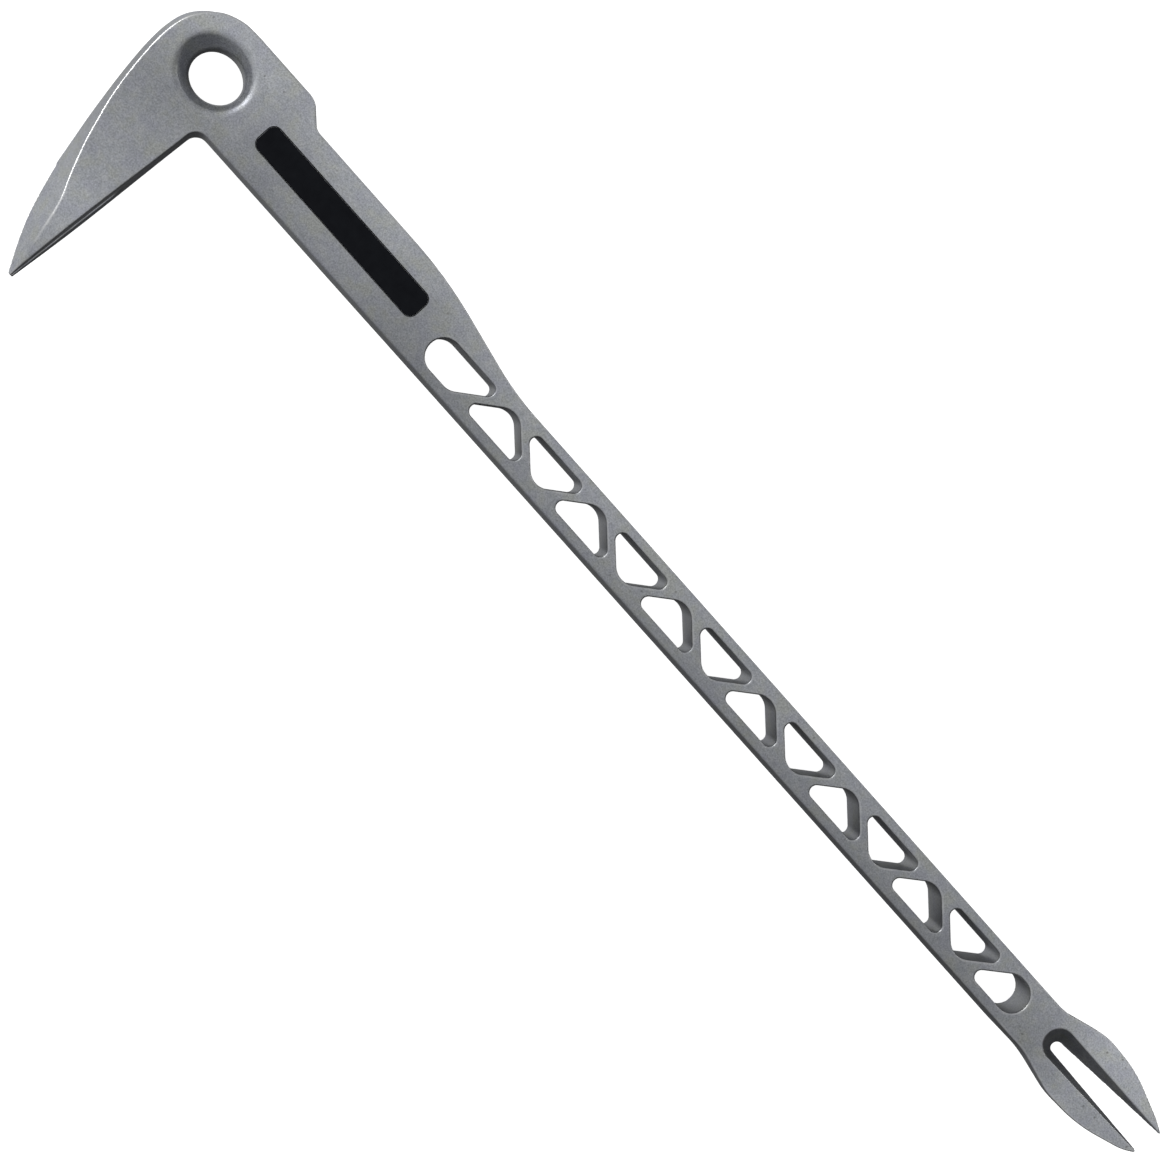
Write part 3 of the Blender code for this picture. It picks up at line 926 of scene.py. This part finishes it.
def titanium():
    """Bead-blasted cast titanium: cloudy grey, a fine grain, a few pits, outer edges brighter by part
    wear and part painted highlight, painted shade in the recesses, a painted highlight along the
    spike's ridge, and painted light and shade by place.
    """
    made = Nodes("blasted_cast_titanium")
    where = made.millimetres()
    clouds = made.noise(where, 0.16, 3.0, 0.55)
    patches = made.noise(where, 0.55, 3.0, 0.6)
    hues = made.noise(where, 0.3, 2.0, 0.5)
    grain = made.noise(where, 3.2, 2.0, 0.6)
    tone = made.mix(made.ramp(clouds, 0.32, 0.68), (0.415, 0.428, 0.452), (0.465, 0.478, 0.502))
    light = made.ramp(patches, 0.5, 0.7, 0.0, 0.6)
    tone = made.mix(light, tone, (0.50, 0.505, 0.51))
    dark = made.ramp(patches, 0.5, 0.3, 0.0, 0.6)
    tone = made.mix(dark, tone, (0.36, 0.38, 0.40))
    warm = made.ramp(hues, 0.52, 0.66, 0.0, 0.8)
    tone = made.mix(warm, tone, (0.445, 0.455, 0.435))
    cool = made.ramp(hues, 0.48, 0.34, 0.0, 0.8)
    tone = made.mix(cool, tone, (0.41, 0.42, 0.465))
    grain_and_painted_light = made.ramp(grain, 0.25, 0.75, 0.7, 1.3)
    # Painted light and shade: the grain's tone is scaled by a brightness set by place on the bar
    grain_and_painted_light = made.math("MULTIPLY", grain_and_painted_light, painted_light_by_place(made, where))
    grey = made.add(
        "ShaderNodeCombineColor", {"Red": grain_and_painted_light, "Green": grain_and_painted_light, "Blue": grain_and_painted_light}
    )
    tone = made.mix(1.0, tone, grey.outputs[0], "MULTIPLY")
    spots = made.add("ShaderNodeTexVoronoi", {"Vector": where, "Scale": 0.42, "Randomness": 1.0})
    lone = made.ramp(made.noise(where, 0.09, 1.0), 0.5, 0.6)
    pit = made.math("MULTIPLY", made.ramp(spots.outputs["Distance"], 0.13, 0.05), lone)
    tone = made.mix(made.math("MULTIPLY", pit, 0.45), tone, (0.12, 0.115, 0.105))
    recess_painted_shade = made.attribute("recess_painted_shade")
    # Painted shade: the walls of the openings and slots, and most of all the eye's bore, are darkened
    # towards grey
    tone = made.mix(made.math("MULTIPLY", recess_painted_shade, 0.15), tone, (0.25, 0.25, 0.25))
    # Outer edges brightened towards pale grey: part wear, part painted highlight
    worn_and_highlight = made.ramp(made.attribute("bend"), 0.4, 1.2)
    worn_and_highlight = made.math("MULTIPLY", worn_and_highlight, made.ramp(patches, 0.35, 0.6, 0.45, 1.0))
    tone = made.mix(made.math("MULTIPLY", worn_and_highlight, 0.5), tone, (0.7, 0.7, 0.7))
    ridge_highlight = made.attribute("ridge_highlight")
    # Painted highlight: the ridge down the spike is painted near white, and is made a little less rough
    # as well
    tone = made.mix(ridge_highlight, tone, (0.95, 0.95, 0.95))
    made.link(tone, made.shader.inputs["Base Color"])
    made.shader.inputs["Metallic"].default_value = 1.0
    rough = made.ramp(patches, 0.3, 0.7, 0.4, 0.48)
    rough = made.math("SUBTRACT", rough, made.math("MULTIPLY", worn_and_highlight, 0.16))
    rough = made.math("SUBTRACT", rough, made.math("MULTIPLY", ridge_highlight, 0.1))
    made.link(rough, made.shader.inputs["Roughness"])
    height = made.math("SUBTRACT", grain, made.math("MULTIPLY", pit, 2.0))
    fine = made.bump(height, 0.03, 0.8)
    wave = made.bump(patches, 0.1, 0.5, fine)
    made.link(wave, made.shader.inputs["Normal"])
    return made.material


def painted_light_by_place(made, where):
    """Painted light and shade over the bar: a brightness factor set by place, lighter towards the +Y
    edge and down the spike to its point, changing in steps along the shank, and lighter on the prongs.
    """
    shift = ORIGIN / MM
    across = made.add("ShaderNodeSeparateXYZ", {0: where})
    along, across = across.outputs["X"], across.outputs["Y"]
    total = made.ramp(across, shift[1] - 5, shift[1] + 10, 0.82, 1.22)
    for value, low, high, change in (
        (across, shift[1] - 5, shift[1] - 31, 0.34),
        (along, shift[0] + 18, shift[0] + 27, -0.08),
        (along, shift[0] + 36, shift[0] + 44, 0.06),
        (along, shift[0] + 55, shift[0] + 72, -0.14),
        (along, shift[0] + 78, shift[0] + 100, 0.12),
        (along, shift[0] + 120, shift[0] + 210, -0.1),
        (along, shift[0] + 235, shift[0] + 252, 0.06),
        (along, shift[0] + 258, shift[0] + 270, 0.35),
    ):
        total = made.math("ADD", total, made.ramp(value, low, high, 0.0, change))
    return total


def enamel():
    """Satin black enamel, slightly cloudy, with fine dust in its surface."""
    made = Nodes("black_enamel")
    where = made.millimetres()
    clouds = made.noise(where, 0.5, 4.0, 0.6)
    grain = made.noise(where, 5.0, 2.0, 0.5)
    tone = made.mix(made.ramp(clouds, 0.3, 0.7), (0.003, 0.0035, 0.006), (0.006, 0.007, 0.010))
    tone = made.mix(made.ramp(grain, 0.68, 0.8, 0.0, 0.2), tone, (0.04, 0.04, 0.045))
    made.link(tone, made.shader.inputs["Base Color"])
    made.shader.inputs["Specular IOR Level"].default_value = 0.1
    made.link(made.ramp(grain, 0.3, 0.7, 0.42, 0.56), made.shader.inputs["Roughness"])
    made.link(made.bump(grain, 0.02, 0.6), made.shader.inputs["Normal"])
    return made.material


# --- Stage --------------------------------------------------------------------------------------


def camera():
    """A long lens straight over the bar, turned so that the fork points down and to the right."""
    data = bpy.data.cameras.new("camera")
    data.sensor_width = 36.0
    data.lens = LENS
    made = bpy.data.objects.new("camera", data)
    right = Vector((math.cos(ROLL), math.sin(ROLL), 0))
    up = Vector((-math.sin(ROLL), math.cos(ROLL), 0))
    base = Matrix((right, up, Vector((0, 0, 1))))
    tilt = (
        Matrix.Rotation(CAMERA_TILT[2], 3, "Z")
        @ Matrix.Rotation(CAMERA_TILT[1], 3, "Y")
        @ Matrix.Rotation(CAMERA_TILT[0], 3, "X")
    )
    axes = tilt @ base
    made.matrix_world = Matrix.Translation(Vector(place(CAMERA_SPOT))) @ axes.transposed().to_4x4()
    bpy.context.scene.collection.objects.link(made)
    bpy.context.scene.camera = made


def area_light(name, place_at, look_at, size, power):
    data = bpy.data.lights.new(name, "AREA")
    data.shape = "RECTANGLE"
    data.size, data.size_y = size
    data.energy = power
    made = bpy.data.objects.new(name, data)
    made.location = place_at
    made.rotation_euler = (Vector(look_at) - Vector(place_at)).to_track_quat("-Z", "Y").to_euler()
    bpy.context.scene.collection.objects.link(made)


def gradient_world():
    """Soft surroundings: bright behind the head and overhead, dark ahead of the fork and below."""
    world = bpy.data.worlds.new("studio")
    world.use_nodes = True
    nodes, links = world.node_tree.nodes, world.node_tree.links
    direction = nodes.new("ShaderNodeTexCoord")
    dot = nodes.new("ShaderNodeVectorMath")
    dot.operation = "DOT_PRODUCT"
    dot.inputs[1].default_value = WORLD_AXIS
    links.new(direction.outputs["Generated"], dot.inputs[0])
    half = nodes.new("ShaderNodeMapRange")
    half.inputs["From Min"].default_value = -1.0
    links.new(dot.outputs["Value"], half.inputs["Value"])
    ramp = nodes.new("ShaderNodeValToRGB")
    stops = ramp.color_ramp.elements
    while len(stops) < len(WORLD_TONES):
        stops.new(0.5)
    for stop, (along, tone) in zip(stops, WORLD_TONES):
        stop.position = (along + 1) / 2
        stop.color = (tone, tone * 1.01, tone * 1.02, 1)
    links.new(half.outputs["Result"], ramp.inputs["Fac"])
    links.new(ramp.outputs["Color"], nodes["Background"].inputs["Color"])
    parts = nodes.new("ShaderNodeSeparateXYZ")
    links.new(direction.outputs["Generated"], parts.inputs[0])
    across = nodes.new("ShaderNodeMath")
    across.operation = "ABSOLUTE"
    links.new(parts.outputs["Y"], across.inputs[0])
    strip = nodes.new("ShaderNodeMapRange")
    strip.inputs["From Min"].default_value = WORLD_STRIP
    strip.inputs["To Min"].default_value = 1.0
    strip.inputs["To Max"].default_value = WORLD_SIDE_TONE
    links.new(across.outputs[0], strip.inputs["Value"])
    links.new(strip.outputs["Result"], nodes["Background"].inputs["Strength"])
    bpy.context.scene.world = world


def stage_object(name, corners, faces, glow):
    """A plain white piece of the stage. It glows, so it stays pale, and metal doesn't mirror it."""
    mesh = bpy.data.meshes.new(name)
    mesh.from_pydata(corners, [], faces)
    made = bpy.data.objects.new(name, mesh)
    made.location.z = cad_low[2] - FLOOR_GAP
    made.visible_glossy = False
    bpy.context.scene.collection.objects.link(made)
    white = Nodes(name + "_white")
    white.shader.inputs["Base Color"].default_value = (0.85, 0.85, 0.85, 1)
    white.shader.inputs["Roughness"].default_value = 0.9
    white.shader.inputs["Emission Color"].default_value = (1, 1, 1, 1)
    white.shader.inputs["Emission Strength"].default_value = glow
    mesh.materials.append(white.material)
    return made


def floor():
    """A plain white table, lit through from below."""
    corners = [
        (x * FLOOR_HALF, y * FLOOR_HALF, 0) for x, y in ((-1, -1), (1, -1), (1, 1), (-1, 1))
    ]
    stage_object("floor", corners, [range(4)], FLOOR_GLOW)


def backdrop():
    """A plain white wall round the table, seen only behind the bar in low views."""
    angles = [2 * math.pi * i / BACKDROP_SIDES for i in range(BACKDROP_SIDES)]
    ring = [(BACKDROP_RADIUS * math.cos(a), BACKDROP_RADIUS * math.sin(a)) for a in angles]
    corners = [(x, y, 0) for x, y in ring] + [(x, y, BACKDROP_HEIGHT) for x, y in ring]
    faces = []
    for i in range(BACKDROP_SIDES):
        j = (i + 1) % BACKDROP_SIDES
        faces.append((i, j, BACKDROP_SIDES + j, BACKDROP_SIDES + i))
    wall = stage_object("backdrop", corners, faces, 1.0)
    wall.visible_diffuse = False
    wall.visible_shadow = False


def studio():
    bpy.context.scene.view_settings.view_transform = "Standard"
    gradient_world()
    floor()
    backdrop()
    area_light("fill", (0.8, 1.8, 0.14), (0, 0, 0), (1.8, 0.2), 3.5)
    area_light("key", (-2.4, 0.1, 1.3), (0, 0, 0), (0.8, 0.5), 14.5)


casting = build_casting()
casting.data.materials.append(titanium())
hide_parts("claw_bar_casting")
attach(casting, "root")

inlay = build_inlay()
inlay.data.materials.append(enamel())
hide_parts("badge_inlay")
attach(inlay, "root")

studio()
camera()
